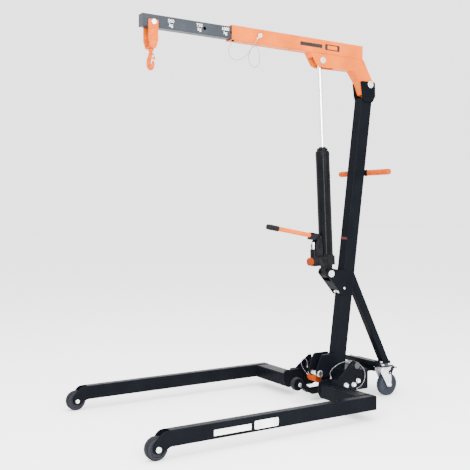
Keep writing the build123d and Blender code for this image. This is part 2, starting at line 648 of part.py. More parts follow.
def castor_bolts():
    bolts = []
    for name, sign in SIDES:
        for dx, dy in CASTOR_BOLTS:
            bolt = rod_z(4.2, CASTOR_TOP - 3, CASTOR_TOP + 12, CASTOR_X + dx, CASTOR_Y + dy)
            bolt += rod_z(8, CASTOR_TOP + 10, CASTOR_TOP + 17, CASTOR_X + dx, CASTOR_Y + dy)
            bolt += rod_z(7, CASTOR_TOP - 5, CASTOR_TOP, CASTOR_X + dx, CASTOR_Y + dy)
            bolts.append(swap(bolt, sign))
    return Compound(children=bolts)


def castor_fork(side):
    """The galvanised fork, open below, that turns under the castor's plate."""
    wheel_y = CASTOR_Y + CASTOR_TRAIL
    top = CASTOR_TOP - 8.5
    crown = rod_z(33, top - 5, top, CASTOR_X, CASTOR_Y)
    crown += box(CASTOR_X - 24, CASTOR_X + 24, CASTOR_Y - 28, wheel_y - 2, top - 5, top)
    fork = crown
    outline = [(CASTOR_Y - 30, top, 0), (CASTOR_Y - 30, top - 16, 6), (wheel_y - 12, CASTOR_R - 10, 8),
               (wheel_y + 10, CASTOR_R - 12, 8), (wheel_y + 14, CASTOR_R + 30, 10), (wheel_y + 6, top, 0)]
    for x in (CASTOR_X - 24, CASTOR_X + 21):
        fork += plate_x(outline, x, x + 3)
    fork -= rod_z(7 + FIT, top - 20, top + 5, CASTOR_X, CASTOR_Y)
    fork -= rod_x(5, CASTOR_X - 30, CASTOR_X + 30, wheel_y, CASTOR_R)
    for x in (CASTOR_X - 28, CASTOR_X + 22):
        fork += rod_x(3, x, x + 6, wheel_y + PEDAL_DY, PEDAL_Z)
    return swap(fork, side)


def castor_wheel(side):
    y = CASTOR_Y + CASTOR_TRAIL
    half = CASTOR_W / 2
    wheel = rod_x(CASTOR_R, CASTOR_X - half, CASTOR_X + half, y, CASTOR_R)
    wheel = fillet(wheel.edges().filter_by(GeomType.CIRCLE), 8)
    for x in (CASTOR_X - half, CASTOR_X + half):
        wheel -= (rod_x(44, x - 4, x + 4, y, CASTOR_R) - rod_x(18, x - 4, x + 4, y, CASTOR_R))
    wheel += rod_x(11, CASTOR_X - 20, CASTOR_X + 20, y, CASTOR_R)
    return swap(wheel - rod_x(5 + FIT, CASTOR_X - 30, CASTOR_X + 30, y, CASTOR_R), side)


def castor_axle(side):
    y = CASTOR_Y + CASTOR_TRAIL
    bolt = rod_x(5, CASTOR_X - 26, CASTOR_X + 26, y, CASTOR_R)
    bolt += rod_x(9, CASTOR_X + 24, CASTOR_X + 30, y, CASTOR_R)
    return swap(bolt + rod_x(9, CASTOR_X - 30, CASTOR_X - 24, y, CASTOR_R), side)


def brake_pedal(side):
    """The total-lock pedal hinged at the rear of the fork."""
    y = CASTOR_Y + CASTOR_TRAIL
    tread = [(y + 16, 147, 0), (y + 16, 154, 2), (y + 42, 160, 3), (y + 54, 154, 0), (y + 50, 150, 0),
             (y + 40, 154, 0), (y + 26, 147, 0)]
    arm = [(y - 5, 121, 4), (y - 5, 138, 4), (y + 17, 153, 0), (y + 27, 148, 0), (y + 16, 121, 4)]
    pedal = plate_x(tread, CASTOR_X - PEDAL_X - 3, CASTOR_X + PEDAL_X + 3)
    for x in (CASTOR_X - PEDAL_X - 3, CASTOR_X + PEDAL_X):
        pedal += plate_x(arm, x, x + 3)
    return swap(pedal - rod_x(3 + FIT, CASTOR_X - 35, CASTOR_X + 35, y + PEDAL_DY, PEDAL_Z), side)


# ---------------------------------------------------------------- lock pins and lanyards
def far_lock_pin():
    inner = SIDE_X - PLATE
    pin = rod_x(LOCK_R, -BRACKET_IN + 0.5, -48, LOCK_Y, LOCK_Z)
    return pin + rod_x(13, -inner + 1, -inner + 7, LOCK_Y, LOCK_Z)


def far_lock_grip():
    grip = rod_x(22, -SIDE_X + PLATE + 8, -42, LOCK_Y, LOCK_Z)
    grip = fillet(grip.edges().filter_by(GeomType.CIRCLE), 6)
    waist = Pos(-82, LOCK_Y, LOCK_Z) * Rot(0, 90, 0) * Torus(30, 10)
    return grip - waist - rod_x(LOCK_R, -140, -48, LOCK_Y, LOCK_Z)


def near_lock_pin():
    inner = SIDE_X - PLATE
    pin = rod_x(LOCK_R, 62, BRACKET_IN - 0.5, LOCK_Y, LOCK_Z)
    pin += rod_x(13, inner - 7, inner - 1, LOCK_Y, LOCK_Z)
    return pin + rod_z(7, LOCK_Z - 22, LOCK_Z + 22, 66, LOCK_Y)


# Each route is a list of points in layout axes; the shape is the one the stiff wire springs into.
BOOM_WIRE = [(22, -539, 1871), (24, -556, 1853), (27, -569, 1825), (30, -562, 1795), (33, -539, 1778),
             (35, -511, 1780), (36, -483, 1796), (37, -457, 1819), (38, -437, 1848),
             (40, -416, 1862), (42, -398, 1843), (42, -392, 1810), (41, -393, 1777),
             (40, -410, 1750), (39, -436, 1754), (38.5, -454, 1779), (40, -457, 1810),
             (43, -445, 1840), (46, -428, 1866), (48, -413, 1889), (49, -405, 1904)]
NEAR_WIRE = [(66, 60, 124.5), (69, 49, 141), (80, 42, 163), (97, 55, 188), (107, 84, 206),
             (111, 119, 214), (114, 154, 210), (121, 187, 200), (134, 212, 187), (144.5, 227, 162),
             (147, 231, 130), (146, 222, 98), (145, 204, 77), (143, 183, 68), (139.8, 168, 66)]
FAR_WIRE = [(-115, 39, 112), (-119, 28, 125), (-122, 15, 143), (-124, 3, 163), (-123, -3, 184),
            (-119, 5, 203), (-115, 22, 203), (-114, 33, 186), (-116, 38, 166), (-121, 40, 149)]


def wire_eye():
    """The small block under the boom's mouth that the boom's wire is clamped in."""
    x, y, z = BOOM_WIRE[0]
    return box(x - 5, x + 5, y - 5, y + 5, z, z + 6.8)


parts = {
    "base_frame": base_frame(),
    "base_pin": base_pin(),
    "hinge_bolts": hinge_bolts(),
    "transport_wheel": transport_wheel(),
    "transport_axle": transport_axle(),
    "mast": mast(),
    "ram_bracket": ram_bracket(),
    "bracket_bolts": bracket_bolts(),
    "boom_pivot_pin": headed_pin(PIVOT_R, MAST_W / 2 + HEAD_T, 19, 8, PIVOT_Y, PIVOT_Z),
    "ram_foot_pin": headed_pin(RAM_PIN_R, MAST_W / 2 + PLATE, 19, 7, RAM_FOOT_Y, RAM_FOOT_Z),
    "rear_brace": rear_brace(),
    "push_handle": push_handle(),
    "push_handle_grips": push_handle_grips(),
    "boom": boom(),
    "ram_head_pins": ram_head_pins(),
    "boom_extension": boom_extension(),
    "hook_pin": hook_pin(),
    "hook_strap": hook_strap(),
    "load_hook": load_hook(),
    "hook_latch": hook_latch(),
    "boom_lock_pin": boom_lock_pin(),
    "ram_cylinder": ram_cylinder(),
    "ram_base": ram_base(),
    "ram_rod": ram_rod(),
    "pump_cylinder": pump_cylinder(),
    "pump_plunger": pump_plunger(),
    "handle_socket": handle_socket(),
    "socket_pin": socket_pin(),
    "pump_handle": pump_handle(),
    "handle_grip": handle_grip(),
    "release_knob": release_knob(),
    "castor_top_plates": castor_top_plates(),
    "castor_bolts": castor_bolts(),
    "far_lock_pin": far_lock_pin(),
    "far_lock_grip": far_lock_grip(),
    "near_lock_pin": near_lock_pin(),
    "wire_eye": wire_eye(),
    "boom_lanyard": lanyard(BOOM_WIRE, "boom_lanyard"),
    "near_lanyard": lanyard(NEAR_WIRE, "near_lanyard"),
    "far_lanyard": lanyard(FAR_WIRE, "far_lanyard"),
}
for label, sign in SIDES:
    parts[label + "_leg"] = leg(sign)
    parts[label + "_leg_bolts"] = leg_bolts(sign)
    parts[label + "_front_wheel"] = front_wheel(sign)
    parts[label + "_front_axle"] = front_axle(sign)
    parts[label + "_castor_fork"] = castor_fork(sign)
    parts[label + "_castor_wheel"] = castor_wheel(sign)
    parts[label + "_castor_axle"] = castor_axle(sign)
    parts[label + "_brake_pedal"] = brake_pedal(sign)

for node, shape in parts.items():
    save(shape, node)
print("origin_y", ORIGIN_Y, "parts", len(parts))
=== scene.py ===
import json
import math

import bmesh
import bpy
from mathutils import Matrix, Vector


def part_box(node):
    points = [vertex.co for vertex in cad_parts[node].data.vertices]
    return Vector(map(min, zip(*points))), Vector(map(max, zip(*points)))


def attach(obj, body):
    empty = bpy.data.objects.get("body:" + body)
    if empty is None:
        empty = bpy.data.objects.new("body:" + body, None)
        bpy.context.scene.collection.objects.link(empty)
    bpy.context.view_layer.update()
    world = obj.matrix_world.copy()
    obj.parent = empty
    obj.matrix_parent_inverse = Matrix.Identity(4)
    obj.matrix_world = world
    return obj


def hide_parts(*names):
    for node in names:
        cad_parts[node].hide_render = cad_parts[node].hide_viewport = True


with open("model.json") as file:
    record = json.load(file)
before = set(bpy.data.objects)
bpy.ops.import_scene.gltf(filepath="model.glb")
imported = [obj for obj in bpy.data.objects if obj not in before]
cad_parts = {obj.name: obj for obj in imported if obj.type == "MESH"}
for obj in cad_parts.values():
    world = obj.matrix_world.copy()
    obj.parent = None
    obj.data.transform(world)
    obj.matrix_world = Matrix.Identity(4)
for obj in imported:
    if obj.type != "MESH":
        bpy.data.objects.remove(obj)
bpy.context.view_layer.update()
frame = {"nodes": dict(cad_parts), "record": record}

# ---------------------------------------------------------------- the crane's own places, in mm
# x is across, y runs from the rear face of the legs' cross tubes towards the tail, z is up.
FRONT_WHEEL_Y = -1188.0
LEG_X = 473.0
LEG_OUTER = 498.0
BRACKET_OUTER = 190.0
MAST_LEAN = math.radians(7.2)
MAST_FOOT_Y = 127.0
MAST_HALF_Y = 40.0
BOOM_SIDE = 30.0
BOOM_TILT = math.radians(0.81)
EXT_SIDE = 24.0
HOOK_Y = -979.0
BOWL_Z = 1724.0
BAR_Y, BAR_Z = 342.0, 1240.0
CASTOR_X, CASTOR_Y = 130.0, 368.0
CASTOR_BOLT_X, CASTOR_BOLT_Y = 33.0, 24.0
CASTOR_PLATE_TOP, CASTOR_PLATE_THICK = 175.0, 10.0
FLANGE_BOLT_X, FLANGE_BOLT_Y, FLANGE_BOLT_Z = 14.0, 153.2, 582.3
CHEEK_OUTER, CHEEK_BOLT_Y, CHEEK_BOLT_Z = 38.0, 172.0, 602.0
RAM_FOOT_Y, RAM_FOOT_Z = 79.0, 686.0
RAM_HEAD_Y, RAM_HEAD_Z = 21.0, 1834.0
TAPE_Z = 871.0
FIGURES_Z = 1918.0
SIDES = (("near", 1), ("far", -1))
WIRE = 0.003


def middle(node):
    """The centre of a CAD part's box, in metres."""
    low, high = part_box(node)
    return (Vector(low) + Vector(high)) / 2


SHIFT = middle("near_front_wheel").y - FRONT_WHEEL_Y / 1000


def place(x, y, z):
    """A point given in the crane's own millimetres, in the frame's metres."""
    return Vector((x / 1000, y / 1000 + SHIFT, z / 1000))


# ---------------------------------------------------------------- finishes
def start_finish(name, colour, metallic, roughness, shine=0.5):
    """A new material with its shader's plain values set."""
    finish = bpy.data.materials.new(name)
    finish.use_nodes = True
    shader = finish.node_tree.nodes["Principled BSDF"]
    shader.inputs["Base Color"].default_value = (*colour, 1)
    shader.inputs["Metallic"].default_value = metallic
    shader.inputs["Roughness"].default_value = roughness
    shader.inputs["Specular IOR Level"].default_value = shine
    return finish, finish.node_tree.nodes, finish.node_tree.links, shader


def cloud(nodes, links, scale, detail=4.0, stretch=(1, 1, 1)):
    """A noise on the piece's own coordinates, which are its place in metres."""
    where = nodes.new("ShaderNodeTexCoord")
    turn = nodes.new("ShaderNodeMapping")
    turn.inputs["Scale"].default_value = stretch
    noise = nodes.new("ShaderNodeTexNoise")
    noise.inputs["Scale"].default_value = scale
    noise.inputs["Detail"].default_value = detail
    links.new(where.outputs["Object"], turn.inputs["Vector"])
    links.new(turn.outputs["Vector"], noise.inputs["Vector"])
    return noise.outputs["Fac"]


def vary_colour(nodes, links, shader, value, low, high, spread=(0.35, 0.65)):
    """Runs the base colour between two colours with a noise."""
    ramp = nodes.new("ShaderNodeValToRGB")
    ramp.color_ramp.elements[0].position = spread[0]
    ramp.color_ramp.elements[0].color = (*low, 1)
    ramp.color_ramp.elements[1].position = spread[1]
    ramp.color_ramp.elements[1].color = (*high, 1)
    links.new(value, ramp.inputs["Fac"])
    links.new(ramp.outputs["Color"], shader.inputs["Base Color"])


def vary_roughness(nodes, links, shader, value, low, high):
    spread = nodes.new("ShaderNodeMapRange")
    spread.inputs["From Min"].default_value = 0.3
    spread.inputs["From Max"].default_value = 0.7
    spread.inputs["To Min"].default_value = low
    spread.inputs["To Max"].default_value = high
    links.new(value, spread.inputs["Value"])
    links.new(spread.outputs["Result"], shader.inputs["Roughness"])


def raise_grain(nodes, links, shader, value, strength, depth):
    bump = nodes.new("ShaderNodeBump")
    bump.inputs["Strength"].default_value = strength
    bump.inputs["Distance"].default_value = depth
    links.new(value, bump.inputs["Height"])
    links.new(bump.outputs["Normal"], shader.inputs["Normal"])


def tint(colour, factor):
    return tuple(min(1.0, channel * factor) for channel in colour)


def powder_coat(name, colour, gloss, shine):
    """Sprayed and baked paint: fine orange peel and a faint cloudiness."""
    finish, nodes, links, shader = start_finish(name, colour, 0.0, gloss, shine)
    vary_colour(nodes, links, shader, cloud(nodes, links, 9), tint(colour, 0.86), tint(colour, 1.1))
    vary_roughness(nodes, links, shader, cloud(nodes, links, 35), gloss - 0.06, gloss + 0.08)
    raise_grain(nodes, links, shader, cloud(nodes, links, 620, 2), 0.22, 0.0006)
    return finish


def gloss_enamel(name, colour):
    """Wet-looking black enamel on the ram."""
    finish, nodes, links, shader = start_finish(name, colour, 0.0, 0.14, 0.05)
    vary_colour(nodes, links, shader, cloud(nodes, links, 12), tint(colour, 0.8), tint(colour, 1.3))
    vary_roughness(nodes, links, shader, cloud(nodes, links, 25), 0.12, 0.22)
    raise_grain(nodes, links, shader, cloud(nodes, links, 160, 2), 0.1, 0.0005)
    return finish


def casting_paint(name, colour):
    """Paint over sand-cast iron, with the sand's grain under it."""
    finish, nodes, links, shader = start_finish(name, colour, 0.0, 0.45, 0.04)
    vary_colour(nodes, links, shader, cloud(nodes, links, 30), tint(colour, 0.7), tint(colour, 1.5))
    vary_roughness(nodes, links, shader, cloud(nodes, links, 60), 0.4, 0.62)
    raise_grain(nodes, links, shader, cloud(nodes, links, 380, 6), 0.5, 0.0012)
    return finish


def forging_paint(name, colour):
    """Thick brushed paint over a forging."""
    finish, nodes, links, shader = start_finish(name, colour, 0.0, 0.36, 0.07)
    vary_colour(nodes, links, shader, cloud(nodes, links, 45), tint(colour, 0.75), tint(colour, 1.12))
    raise_grain(nodes, links, shader, cloud(nodes, links, 220, 5), 0.35, 0.001)
    return finish


def hard_chrome():
    finish, nodes, links, shader = start_finish("hard chrome", (0.86, 0.87, 0.89), 1.0, 0.09)
    vary_roughness(nodes, links, shader, cloud(nodes, links, 90, 3, (1, 1, 14)), 0.06, 0.14)
    raise_grain(nodes, links, shader, cloud(nodes, links, 240, 3, (1, 1, 20)), 0.05, 0.0002)
    return finish


def bright_zinc():
    """Plated fasteners: bluish steel with faint yellow patches."""
    finish, nodes, links, shader = start_finish("bright zinc", (0.78, 0.80, 0.84), 1.0, 0.28)
    vary_colour(nodes, links, shader, cloud(nodes, links, 60), (0.66, 0.69, 0.74), (0.88, 0.87, 0.82))
    vary_roughness(nodes, links, shader, cloud(nodes, links, 140), 0.2, 0.38)
    raise_grain(nodes, links, shader, cloud(nodes, links, 500, 3), 0.15, 0.0004)
    return finish


def galvanised_sheet():
    """Pressed sheet with the spangle of its zinc crystals."""
    finish, nodes, links, shader = start_finish("galvanised sheet", (0.6, 0.62, 0.65), 0.85, 0.4)
    where = nodes.new("ShaderNodeTexCoord")
    spangle = nodes.new("ShaderNodeTexVoronoi")
    spangle.inputs["Scale"].default_value = 190
    links.new(where.outputs["Object"], spangle.inputs["Vector"])
    ramp = nodes.new("ShaderNodeValToRGB")
    ramp.color_ramp.elements[0].color = (0.46, 0.48, 0.51, 1)
    ramp.color_ramp.elements[1].color = (0.72, 0.74, 0.77, 1)
    links.new(spangle.outputs["Color"], ramp.inputs["Fac"])
    links.new(ramp.outputs["Color"], shader.inputs["Base Color"])
    vary_roughness(nodes, links, shader, cloud(nodes, links, 80), 0.32, 0.5)
    return finish


def moulded(name, colour, gloss, grain=420, shine=0.2):
    """Injection-moulded nylon or plastic with a fine matt texture."""
    finish, nodes, links, shader = start_finish(name, colour, 0.0, gloss, shine)
    vary_colour(nodes, links, shader, cloud(nodes, links, 25), tint(colour, 0.84), tint(colour, 1.16))
    vary_roughness(nodes, links, shader, cloud(nodes, links, 90), gloss - 0.08, gloss + 0.1)
    raise_grain(nodes, links, shader, cloud(nodes, links, grain, 3), 0.3, 0.0005)
    return finish


def rolled_tread(name, colour):
    """A wheel's running face, greyed with floor dust."""
    finish, nodes, links, shader = start_finish(name, colour, 0.0, 0.62, 0.08)
    dust = tint(colour, 1.45)
    vary_colour(nodes, links, shader, cloud(nodes, links, 70, 8), colour, dust, (0.4, 0.75))
    raise_grain(nodes, links, shader, cloud(nodes, links, 300, 5), 0.35, 0.0006)
    return finish


def wire_rope():
    """Stranded rope: slanting bands of painted highlight on the strands and painted shade between them.
    """
    finish, nodes, links, shader = start_finish("wire rope", (0.3, 0.31, 0.33), 0.8, 0.4)
    where = nodes.new("ShaderNodeTexCoord")
    lay = nodes.new("ShaderNodeTexWave")
    lay.bands_direction = "DIAGONAL"
    lay.inputs["Scale"].default_value = 260
    lay.inputs["Distortion"].default_value = 1.5
    links.new(where.outputs["Object"], lay.inputs["Vector"])
    # painted shade: the base colour runs dark in the grooves between strands and light on the strands as
    # painted highlight
    vary_colour(nodes, links, shader, lay.outputs["Fac"], (0.10, 0.105, 0.115), (0.36, 0.37, 0.40))
    raise_grain(nodes, links, shader, lay.outputs["Fac"], 0.6, 0.0005)
    return finish


ORANGE = (0.56, 0.098, 0.0015)
FINISHES = {
    "orange_paint": powder_coat("orange powder coat", ORANGE, 0.34, 0.06),
    "dark_paint": powder_coat("near-black powder coat", (0.0034, 0.0040, 0.0056), 0.26, 0.016),
    "grey_paint": powder_coat("grey powder coat", (0.021, 0.024, 0.030), 0.36, 0.12),
    "black_gloss": gloss_enamel("black ram enamel", (0.0026, 0.0028, 0.0036)),
    "cast_black": casting_paint("black casting paint", (0.0055, 0.0055, 0.0065)),
    "chrome": hard_chrome(),
    "zinc": bright_zinc(),
    "galvanised": galvanised_sheet(),
    "hook_paint": forging_paint("hook orange enamel", (0.52, 0.082, 0.0015)),
    "castor_nylon": moulded("castor blue-grey nylon", (0.013, 0.016, 0.022), 0.42, 420, 0.1),
    "wheel_nylon": moulded("leg wheel grey nylon", (0.010, 0.011, 0.014), 0.45, 420, 0.12),
    "black_rubber": moulded("black grip rubber", (0.006, 0.006, 0.007), 0.6, 700, 0.1),
    "orange_rubber": moulded("orange grip plastic", (0.36, 0.048, 0.001), 0.42, 420, 0.06),
    "black_plastic": moulded("black nylon", (0.004, 0.004, 0.005), 0.42, 420, 0.02),
    "wire": wire_rope(),
}
KNOB_ORANGE = moulded("release knob plastic", (0.17, 0.022, 0.001), 0.45, 420, 0.06)
TREAD_GREY = rolled_tread("leg wheel tread", (0.006, 0.0065, 0.0085))
TREAD_BLUE = rolled_tread("castor tread", (0.013, 0.016, 0.022))
WHITE_INK = moulded("white label vinyl", (0.80, 0.81, 0.80), 0.45, 900)
DARK_INK = moulded("black label vinyl", (0.012, 0.010, 0.010), 0.4, 900)
RED_TAPE = moulded("dark red tape", (0.055, 0.004, 0.003), 0.4, 900)


def plated_inside():
    """The hinge bolts: plated heads inside the frame and painted nuts outside."""
    finish, nodes, links, shader = start_finish("half-painted hinge bolts", (0.78, 0.80, 0.84), 1.0, 0.3)
    where = nodes.new("ShaderNodeTexCoord")
    parts = nodes.new("ShaderNodeSeparateXYZ")
    distance = nodes.new("ShaderNodeMath")
    distance.operation = "ABSOLUTE"
    inside = nodes.new("ShaderNodeMath")
    inside.operation = "LESS_THAN"
    inside.inputs[1].default_value = 0.145
    links.new(where.outputs["Object"], parts.inputs["Vector"])
    links.new(parts.outputs["X"], distance.inputs[0])
    links.new(distance.outputs["Value"], inside.inputs[0])
    links.new(inside.outputs["Value"], shader.inputs["Metallic"])
    vary_colour(nodes, links, shader, inside.outputs["Value"], (0.006, 0.006, 0.008), (0.78, 0.80, 0.84))
    raise_grain(nodes, links, shader, cloud(nodes, links, 500, 3), 0.15, 0.0004)
    return finish


for entry in frame["record"]["subparts"]:
    for holder in frame["nodes"][entry["node"]].material_slots:
        holder.material = FINISHES[entry["material_slot"]]
for node, finish in (("hinge_bolts", plated_inside()), ("release_knob", KNOB_ORANGE)):
    for holder in frame["nodes"][node].material_slots:
        holder.material = finish


# ---------------------------------------------------------------- making pieces
def keep(bm, name, body, finish, sharp=32):
    """Turns a bmesh into a piece that rides on a body."""
    bmesh.ops.remove_doubles(bm, verts=bm.verts, dist=0.00001)
    bmesh.ops.recalc_face_normals(bm, faces=bm.faces)
    mesh = bpy.data.meshes.new(name)
    bm.to_mesh(mesh)
    bm.free()
    mesh.materials.append(finish)
    mesh.shade_smooth()
    mesh.set_sharp_from_angle(angle=math.radians(sharp))
    piece = bpy.data.objects.new(name, mesh)
    bpy.context.scene.collection.objects.link(piece)
    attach(piece, body)
    return piece


def facing(axis):
    """The turn that takes +Z to an axis."""
    return Vector((0, 0, 1)).rotation_difference(Vector(axis)).to_matrix().to_4x4()


def turned(bm, profile, centre, axis=(1, 0, 0), steps=48):
    """Adds a solid of revolution: the profile is (along the axis, radius) in mm, as a closed loop."""
    verts = [bm.verts.new((radius / 1000, 0, along / 1000)) for along, radius in profile]
    edges = [bm.edges.new(pair) for pair in zip(verts, verts[1:] + verts[:1])]
    before = set(bm.verts) - set(verts)
    bmesh.ops.spin(bm, geom=verts + edges, cent=(0, 0, 0), axis=(0, 0, 1), angle=math.tau,
                   steps=steps, use_merge=True)
    new = [v for v in bm.verts if v not in before]
    bmesh.ops.transform(bm, matrix=Matrix.Translation(centre) @ facing(axis), verts=new)
    return new


def hex_bolt(bm, across, height, centre, axis, washer=1.5):
    """Adds a washer and a chamfered hexagon head that stand on the point centre."""
    turn = Matrix.Translation(centre) @ facing(axis)
    radius = across / 2000 / math.cos(math.pi / 6)
    turned(bm, [(0, 0.1), (0, across * 0.62), (washer, across * 0.62), (washer, 0.1)], centre, axis, 24)
    head = bmesh.ops.create_cone(bm, cap_ends=True, segments=6, radius1=radius, radius2=radius,
                                 depth=height / 1000)["verts"]
    rims = [e for v in head for e in v.link_edges if v.co.z > 0 and e.other_vert(v).co.z > 0]
    bevel = bmesh.ops.bevel(bm, geom=list(set(rims)), offset=height * 0.12 / 1000, segments=2,
                            profile=0.5, affect="EDGES", material=-1)
    head = list({v for v in head if v.is_valid} | set(bevel["verts"]))
    lift = Matrix.Translation((0, 0, (washer + height / 2) / 1000))
    bmesh.ops.transform(bm, matrix=turn @ lift, verts=head)


def upright(sign):
    """The turn that stands a flat piece up to face out along X on one side."""
    standing = Matrix(((0, 0, 1, 0), (1, 0, 0, 0), (0, 1, 0, 0), (0, 0, 0, 1)))
    return standing if sign > 0 else Matrix.Rotation(math.pi, 4, "Z") @ standing


def label(name, width, height, centre, slope, corner, body, finish, lift=0.3, facing_x=1):
    """A thin rounded plate of vinyl on a face that looks along X."""
    bm = bmesh.new()
    corners = bmesh.ops.create_grid(bm, x_segments=1, y_segments=1, size=0.5)["verts"]
    bmesh.ops.scale(bm, vec=(width / 1000, height / 1000, 1), verts=corners)
    if corner:
        bmesh.ops.bevel(bm, geom=bm.verts[:], offset=corner / 1000, segments=5, profile=0.5,
                        affect="VERTICES", material=-1)
    sheet = bmesh.ops.extrude_face_region(bm, geom=bm.faces[:])["geom"]
    top = [v for v in sheet if isinstance(v, bmesh.types.BMVert)]
    bmesh.ops.translate(bm, vec=(0, 0, lift / 1000), verts=top)
    turn = Matrix.Rotation(-slope, 4, "X") @ upright(facing_x)
    bmesh.ops.transform(bm, matrix=Matrix.Translation(centre) @ turn, verts=bm.verts)
    return keep(bm, name, body, finish)


def weld(name, start, end, radius, body, finish):
    """A bead of overlapping ripples from one point to the other."""
    bm = bmesh.new()
    run = end - start
    count = max(3, int(run.length / (radius * 0.75)))
    for step in range(count + 1):
        drop = Matrix.Translation(start + run * step / count)
        bmesh.ops.create_icosphere(bm, subdivisions=2, radius=radius, matrix=drop)
    return keep(bm, name, body, finish, 60)


# ---------------------------------------------------------------- leg wheels, transport wheel, castors
def rounded(radius, half, corner, hub, face, rim):
    """A moulded wheel's half profile, mirrored to the other side: tyre, rim lip, dished web, hub."""
    right = [(half + 1, hub * 0.45), (half + 1, hub), (face, hub + 1.5), (face, rim),
             (half - 0.6, rim + 2), (half, rim + 4), (half, radius - corner)]
    for step in range(1, 6):
        turn = math.radians(90 * step / 6)
        right.append((half - corner + corner * math.cos(turn),
                      radius - corner + corner * math.sin(turn)))
    right.append((half - corner, radius))
    return right + [(-along, r) for along, r in reversed(right)]


def split_tread(piece, centre, radius, finish):
    """Gives the outer band of a wheel its own finish."""
    piece.data.materials.append(finish)
    for face in piece.data.polygons:
        spot = Vector(face.center) - centre
        if math.hypot(spot.y, spot.z) > radius:
            face.material_index = 1


def ribbed_wheel(node, slot, tread, size, ribs):
    """A ribbed, moulded wheel: its size is radius, half width, corner, hub, web face and rim."""
    radius, _, corner, hub, face, rim = size
    centre = middle(node)
    bm = bmesh.new()
    turned(bm, rounded(*size), centre, steps=72)
    for side in (1, -1):
        for step in range(ribs):
            rib = bmesh.ops.create_cube(bm, size=1)["verts"]
            bmesh.ops.scale(bm, vec=(0.005, 0.0022, (rim - hub) / 1000), verts=rib)
            lift = Matrix.Translation((side * (face - 0.6) / 1000, 0, (rim + hub) / 2000))
            spin = Matrix.Rotation(math.tau * step / ribs, 4, "X")
            bmesh.ops.transform(bm, matrix=Matrix.Translation(centre) @ spin @ lift, verts=rib)
    piece = keep(bm, node + "_moulding", node, FINISHES[slot])
    split_tread(piece, centre, (radius - corner * 1.2) / 1000, tread)
    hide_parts(node)


for side, sign in SIDES:
    ribbed_wheel(side + "_front_wheel", "wheel_nylon", TREAD_GREY, (50, 17, 7, 15, 12.5, 34), 8)
    ribbed_wheel(side + "_castor_wheel", "castor_nylon", TREAD_BLUE, (62.5, 18, 8, 19, 14.0, 44), 10)
ribbed_wheel("transport_wheel", "black_plastic", TREAD_GREY, (35, 13.5, 4, 11, 11.0, 23), 6)


def castor_details(side, sign):
    """The swivel's ball race, and the axle's nuts."""
    bm = bmesh.new()
    swivel = place(sign * CASTOR_X, CASTOR_Y, 0)
    up = (0, 0, 1)
    turned(bm, [(157.4, 20), (157.4, 33), (159, 35), (161, 35), (162.5, 31), (162.5, 20)], swivel, up)
    race = keep(bm, side + "_ball_race", "base", FINISHES["galvanised"])
    bm = bmesh.new()
    axle = middle(side + "_castor_axle")
    for way in (1, -1):
        hex_bolt(bm, 17, 6, axle + Vector((way * 0.0245, 0, 0)), (way, 0, 0), 1.2)
    nuts = keep(bm, side + "_castor_nuts", side + "_fork", FINISHES["zinc"])


for side, sign in SIDES:
    castor_details(side, sign)


# ---------------------------------------------------------------- bolts on the plates
def leg_bolts(side, sign):
    """Hexagon bolts on the leg's hinge bracket."""
    bm = bmesh.new()
    for y, z, across in ((58, 106, 22), (111, 105, 20), (141, 122, 20)):
        hex_bolt(bm, across, 9, place(sign * BRACKET_OUTER, y, z), (sign, 0, 0), 2)
    bolts = keep(bm, side + "_bracket_bolts", side + "_leg", FINISHES["zinc"])
    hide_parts(side + "_leg_bolts")


for side, sign in SIDES:
    leg_bolts(side, sign)


def hexagon_bolts():
    """Hexagon heads with washers over the plain ones on the castor plates and the ram's bracket."""
    bm = bmesh.new()
    for sign in (1, -1):
        for across in (-CASTOR_BOLT_X, CASTOR_BOLT_X):
            for along in (-CASTOR_BOLT_Y, CASTOR_BOLT_Y):
                spot = place(sign * CASTOR_X + across, CASTOR_Y + along, CASTOR_PLATE_TOP)
                hex_bolt(bm, 13, 7, spot, (0, 0, 1))
                under = spot - Vector((0, 0, CASTOR_PLATE_THICK / 1000))
                hex_bolt(bm, 13, 3.4, under, (0, 0, -1), 0.8)
    plate_bolts = keep(bm, "castor_plate_bolts", "base", FINISHES["zinc"])
    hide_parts("castor_bolts")
    bm = bmesh.new()
    forward = Vector((0, -math.cos(MAST_LEAN), math.sin(MAST_LEAN)))
    for x in (-FLANGE_BOLT_X, FLANGE_BOLT_X):
        hex_bolt(bm, 15, 6, place(x, FLANGE_BOLT_Y, FLANGE_BOLT_Z), forward)
    for sign in (1, -1):
        hex_bolt(bm, 10, 2.5, place(sign * CHEEK_OUTER, CHEEK_BOLT_Y, CHEEK_BOLT_Z), (sign, 0, 0), 0.8)
    cheek_bolts = keep(bm, "ram_bracket_bolts", "base", FINISHES["zinc"])
    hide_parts("bracket_bolts")


hexagon_bolts()


# ---------------------------------------------------------------- grips
def ribbed_grip(start, end, radius, ribs, bore):
    """A moulded grip with rings, a flange at its inner end and a rounded closed end."""
    run = end - start
    length = run.length * 1000
    profile = [(0, bore), (0, radius), (3, radius), (6, radius - 1.6)]
    first, last = 8, length - 12
    for step in range(ribs):
        here = first + (last - first) * step / ribs
        pitch = (last - first) / ribs
        profile += [(here, radius - 1.8), (here + pitch * 0.25, radius - 0.2),
                    (here + pitch * 0.6, radius - 0.2), (here + pitch * 0.85, radius - 1.8)]
    profile += [(length - 8, radius - 0.6), (length - 2.5, radius - 1.5), (length - 0.4, radius - 6),
                (length, 0.1), (length - 4, 0.1), (length - 4.5, bore)]
    bm = bmesh.new()
    turned(bm, profile, start, run.normalized(), 40)
    return bm


